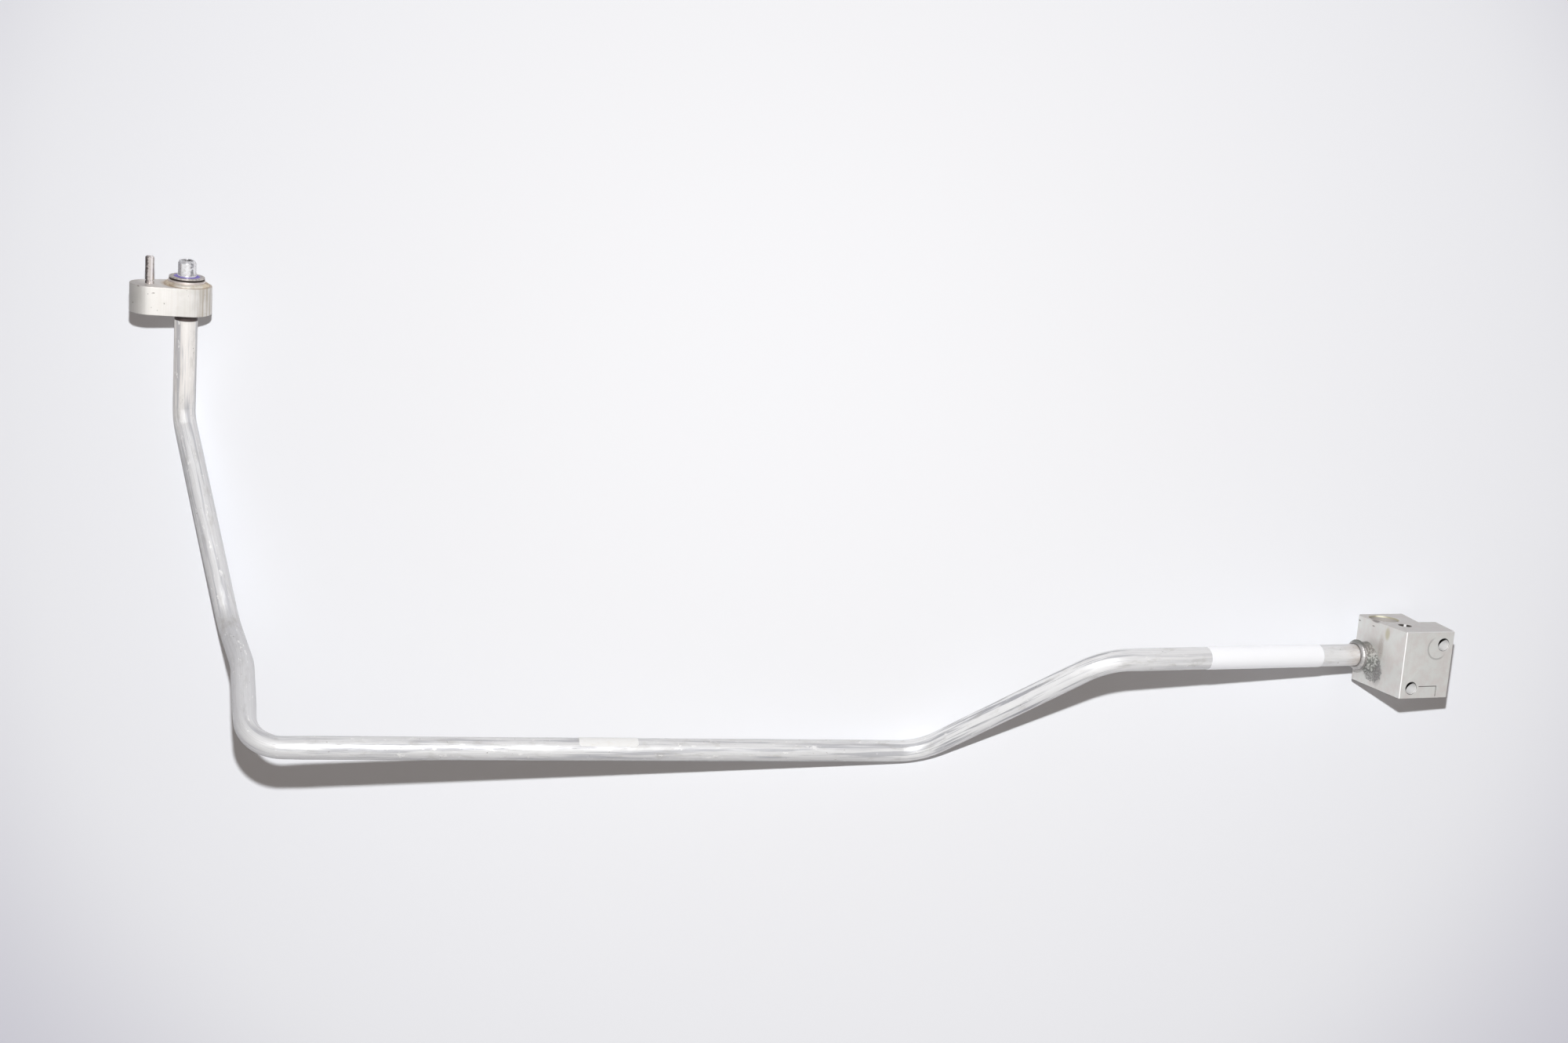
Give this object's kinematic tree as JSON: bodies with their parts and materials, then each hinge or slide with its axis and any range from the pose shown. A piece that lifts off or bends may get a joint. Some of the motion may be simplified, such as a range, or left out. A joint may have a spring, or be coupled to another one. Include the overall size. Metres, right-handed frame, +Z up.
{
  "type": "air conditioning pipe",
  "caption": "Rigid bent aluminium refrigerant pipe with a brazed sealing flange, seal washer and locating pin at one end and a welded connection block at the other.",
  "frame": {"origin": "middle of the bounding box's footprint, on the surface that the pipe lies on at rest", "axes": "+Z up from that surface; +X along the long straight run, from the sealing flange towards the connection block; +Y towards the flange's spigot"},
  "size_m": [0.5991, 0.2324, 0.0824],
  "materials": {
    "aluminium_tube": "drawn, with nicks and light stains",
    "aluminium_flange": "matte, lightly blasted",
    "aluminium_fitting": "turned",
    "braze": "stained braze",
    "steel_pin": "turned",
    "steel_ring": "satin",
    "rubber_lip": "smooth rubber",
    "aluminium_block": "satin, as extruded and sawn",
    "weld": "as welded",
    "white_label": "matte white label",
    "cream_label": "matte cream label"
  },
  "bodies": {
    "root": {"pipe": "aluminium_tube", "flange_plate": "aluminium_flange", "end_fitting": "aluminium_fitting", "flange_braze": "braze", "locating_pin": "steel_pin", "seal_ring": "steel_ring", "seal_lip": "rubber_lip", "connection_block": "aluminium_block", "weld_bead": "weld", "identification_label": "white_label", "small_label": "cream_label"}
  },
  "joints": []
}
